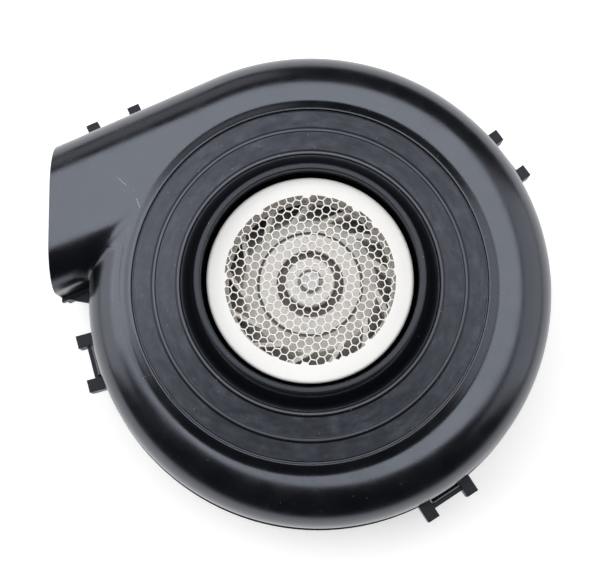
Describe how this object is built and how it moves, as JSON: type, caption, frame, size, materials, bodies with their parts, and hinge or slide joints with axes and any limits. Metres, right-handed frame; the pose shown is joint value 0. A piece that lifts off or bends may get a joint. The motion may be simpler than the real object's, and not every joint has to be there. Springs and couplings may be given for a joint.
{
  "type": "fan motor",
  "caption": "Centrifugal suction fan motor: a brushless blower hung on rubber in a black two-part scroll casing, with a round honeycomb inlet and a rectangular side outlet.",
  "frame": {"origin": "on the fan's axis, at the middle of the casing's rear face", "axes": "+Z along the fan's axis towards the inlet, -X towards the outlet, +Y towards the duct's outer wall"},
  "size_m": [0.1041, 0.0999, 0.0472],
  "materials": {
    "casing": "satin moulded black",
    "rubber": "matt dusty rubber",
    "grille": "satin white",
    "cover": "pressed sheet",
    "dark_plastic": "moulded",
    "fan_plastic": "moulded off-white",
    "brass": "turned",
    "board": "solder mask",
    "chip": "moulded",
    "socket": "moulded cream",
    "sheet_steel": "stamped",
    "insulator": "moulded",
    "copper": "enamelled",
    "bearing_steel": "ground",
    "spring_steel": "plated",
    "cage": "pressed",
    "magnet": "bonded"
  },
  "bodies": {
    "casing": {"upper_shell": "casing", "lower_shell": "casing", "bellows": "rubber", "rear_damper": "rubber", "inlet_grille": "grille", "fan_cover": "cover", "diffuser": "dark_plastic", "base_plate": "dark_plastic", "rear_cover": "dark_plastic", "bearing_tube": "brass", "socket_pins": "brass", "control_board": "board", "board_parts": "chip", "power_socket": "socket", "stator_core": "sheet_steel", "upper_insulator": "insulator", "lower_insulator": "insulator", "windings": "copper", "upper_outer_race": "bearing_steel", "lower_outer_race": "bearing_steel", "preload_washer": "spring_steel", "fan_screws": "spring_steel", "board_screws": "spring_steel", "cover_screws": "spring_steel"},
    "rotor": {"shaft": "bearing_steel", "shaft_clip": "spring_steel", "hub_bush": "brass", "rotor_cup": "sheet_steel", "rotor_magnet": "magnet", "impeller": "fan_plastic", "impeller_shroud": "fan_plastic", "upper_inner_race": "bearing_steel", "lower_inner_race": "bearing_steel"},
    "upper_ball_set": {"upper_bearing_cage": "cage", "upper_bearing_balls": "bearing_steel"},
    "lower_ball_set": {"lower_bearing_cage": "cage", "lower_bearing_balls": "bearing_steel"}
  },
  "joints": [
    {"name": "rotor_spin", "type": "hinge", "parent": "casing", "child": "rotor", "pos_m": [0, 0, 0.024], "axis": [0, 0, 1], "continuous": true},
    {"name": "upper_ball_roll", "type": "hinge", "parent": "casing", "child": "upper_ball_set", "pos_m": [0, 0, 0.028], "axis": [0, 0, 1], "continuous": true},
    {"name": "lower_ball_roll", "type": "hinge", "parent": "casing", "child": "lower_ball_set", "pos_m": [0, 0, 0.0192], "axis": [0, 0, 1], "continuous": true}
  ],
  "couplings": [
    {"joint": "upper_ball_roll", "follows": "rotor_spin", "ratio": 0.38461},
    {"joint": "lower_ball_roll", "follows": "rotor_spin", "ratio": 0.38461}
  ]
}
